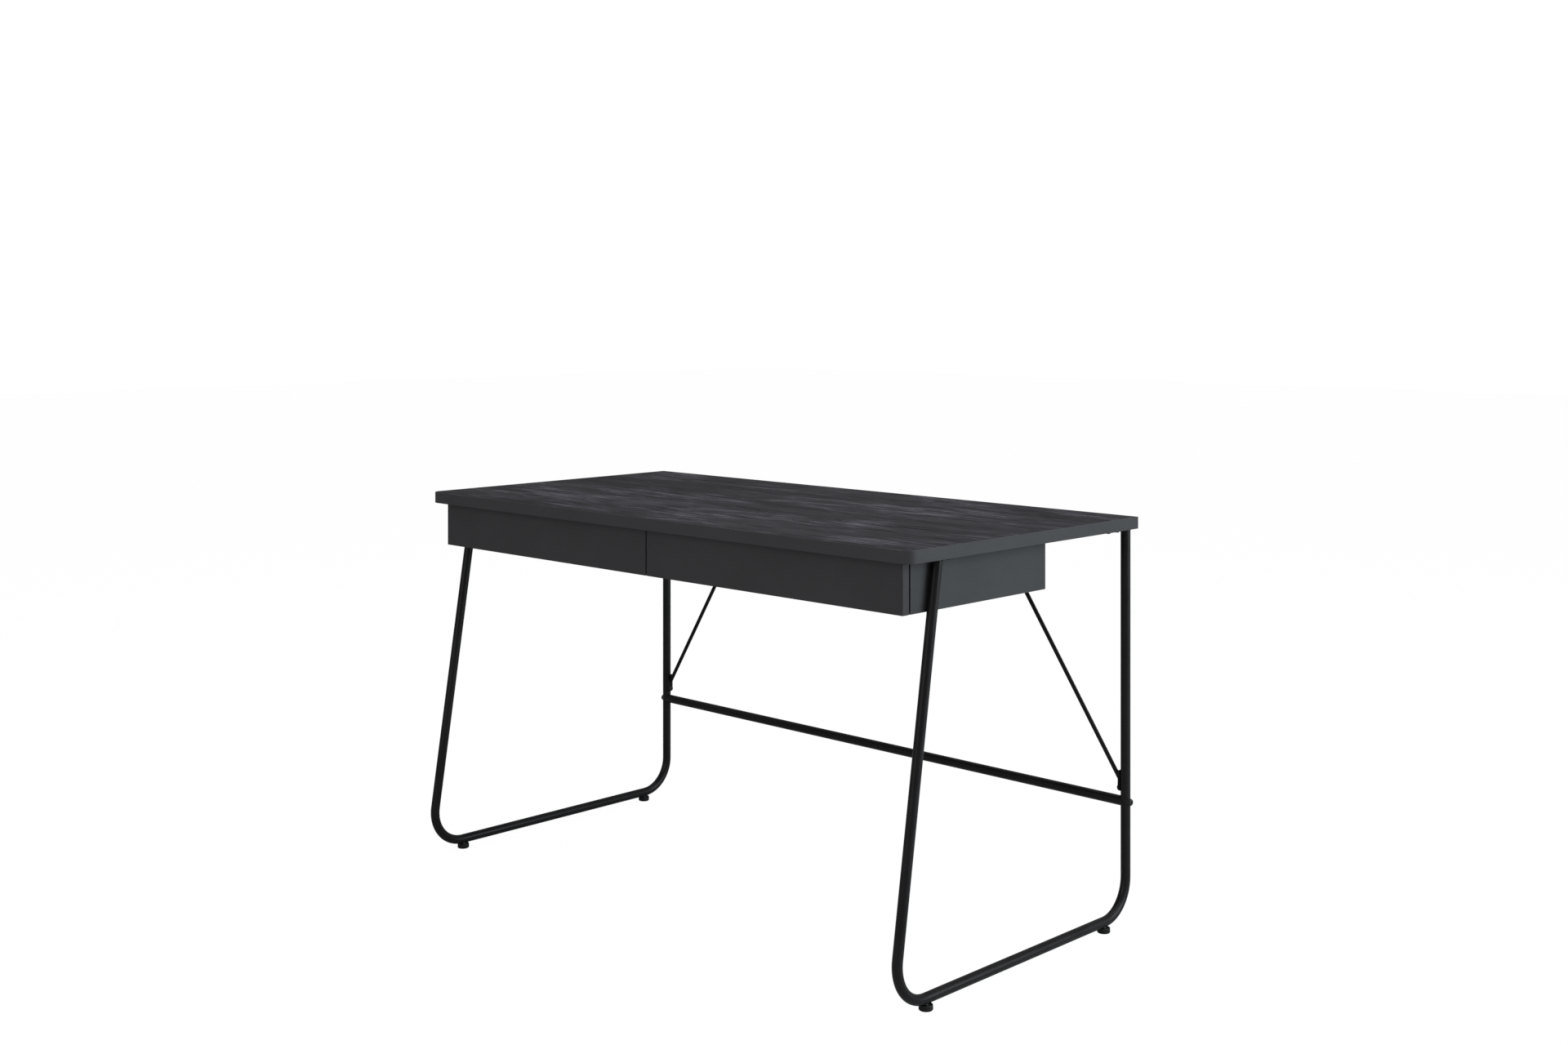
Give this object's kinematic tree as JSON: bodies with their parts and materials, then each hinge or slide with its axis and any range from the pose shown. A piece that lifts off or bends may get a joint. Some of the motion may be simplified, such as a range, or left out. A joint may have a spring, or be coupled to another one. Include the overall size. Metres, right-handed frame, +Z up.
{
  "type": "writing desk with drawers",
  "caption": "Writing desk with a laminated board top, a shallow case of side-by-side handleless drawers, bent steel tube leg frames, a rear crossbar with rod struts and levelling feet.",
  "frame": {"origin": "on the floor under the middle of the bounding box", "axes": "+X to the sitter's right along the top's long side, +Y to the back, +Z up"},
  "size_m": [1.3, 0.6636, 0.75],
  "materials": {
    "top_laminate": "matt black oak wood-grain laminate, grain along X",
    "edge_band": "matt black edge band",
    "case_board": "matt black melamine-faced board",
    "drawer_front": "matt black melamine-faced board",
    "drawer_board": "matt dark grey melamine-faced board",
    "drawer_bottom": "dark grey coated hardboard",
    "buffer_rubber": "soft black rubber",
    "screw_steel": "zinc plated",
    "runner_steel": "zinc plated sheet",
    "cage_steel": "bright steel, lightly greased",
    "tube_paint": "satin black powder coat",
    "strut_paint": "satin black powder coat",
    "bolt_black": "black oxide",
    "insert_steel": "zinc plated, threaded",
    "foot_plastic": "moulded black plastic"
  },
  "bodies": {
    "frame": {"case_back": "case_board", "case_divider": "case_board", "case_rail_left_left": "runner_steel", "case_rail_left_right": "runner_steel", "case_rail_right_left": "runner_steel", "case_rail_right_right": "runner_steel", "case_rail_screws_left": "screw_steel", "case_rail_screws_right": "screw_steel", "case_side_left": "case_board", "case_side_right": "case_board", "crossbar_bolt_left": "bolt_black", "crossbar_bolt_right": "bolt_black", "crossbar_plug_left": "insert_steel", "crossbar_plug_right": "insert_steel", "desk_top": "top_laminate", "foot_insert_left_front": "insert_steel", "foot_insert_left_rear": "insert_steel", "foot_insert_right_front": "insert_steel", "foot_insert_right_rear": "insert_steel", "leg_frame_left": "tube_paint", "leg_frame_right": "tube_paint", "leg_plate_left_front": "tube_paint", "leg_plate_left_rear": "tube_paint", "leg_plate_right_front": "tube_paint", "leg_plate_right_rear": "tube_paint", "rear_crossbar": "tube_paint", "strut_bolt_left": "bolt_black", "strut_bolt_right": "bolt_black", "strut_left": "strut_paint", "strut_right": "strut_paint", "top_edge_band": "edge_band", "top_screws_left": "bolt_black", "top_screws_right": "bolt_black"},
    "cages_left": {"ball_cage_left_left": "cage_steel", "ball_cage_left_right": "cage_steel"},
    "cages_right": {"ball_cage_right_left": "cage_steel", "ball_cage_right_right": "cage_steel"},
    "drawer_left": {"drawer_left_back": "drawer_board", "drawer_left_bottom": "drawer_bottom", "drawer_left_buffers": "buffer_rubber", "drawer_left_front": "drawer_front", "drawer_left_side_left": "drawer_board", "drawer_left_side_right": "drawer_board", "drawer_rail_left_left": "runner_steel", "drawer_rail_left_right": "runner_steel", "drawer_rail_screws_left": "screw_steel"},
    "drawer_right": {"drawer_rail_right_left": "runner_steel", "drawer_rail_right_right": "runner_steel", "drawer_rail_screws_right": "screw_steel", "drawer_right_back": "drawer_board", "drawer_right_bottom": "drawer_bottom", "drawer_right_buffers": "buffer_rubber", "drawer_right_front": "drawer_front", "drawer_right_side_left": "drawer_board", "drawer_right_side_right": "drawer_board"},
    "foot_left_front": {"foot_left_front": "foot_plastic"},
    "foot_left_rear": {"foot_left_rear": "foot_plastic"},
    "foot_right_front": {"foot_right_front": "foot_plastic"},
    "foot_right_rear": {"foot_right_rear": "foot_plastic"}
  },
  "joints": [
    {"name": "drawer_left_slide", "type": "slide", "parent": "frame", "child": "drawer_left", "axis": [0, -1, 0], "range_m": [0, 0.24]},
    {"name": "cages_left_slide", "type": "slide", "parent": "frame", "child": "cages_left", "axis": [0, -1, 0], "range_m": [0, 0.12]},
    {"name": "drawer_right_slide", "type": "slide", "parent": "frame", "child": "drawer_right", "axis": [0, -1, 0], "range_m": [0, 0.24]},
    {"name": "cages_right_slide", "type": "slide", "parent": "frame", "child": "cages_right", "axis": [0, -1, 0], "range_m": [0, 0.12]},
    {"name": "foot_left_front_thread", "type": "slide", "parent": "frame", "child": "foot_left_front", "axis": [0, 0, -1], "range_m": [0, 0.008]},
    {"name": "foot_left_rear_thread", "type": "slide", "parent": "frame", "child": "foot_left_rear", "axis": [0, 0, -1], "range_m": [0, 0.008]},
    {"name": "foot_right_front_thread", "type": "slide", "parent": "frame", "child": "foot_right_front", "axis": [0, 0, -1], "range_m": [0, 0.008]},
    {"name": "foot_right_rear_thread", "type": "slide", "parent": "frame", "child": "foot_right_rear", "axis": [0, 0, -1], "range_m": [0, 0.008]}
  ],
  "couplings": [
    {"joint": "cages_left_slide", "follows": "drawer_left_slide", "ratio": 0.5},
    {"joint": "cages_right_slide", "follows": "drawer_right_slide", "ratio": 0.5}
  ]
}
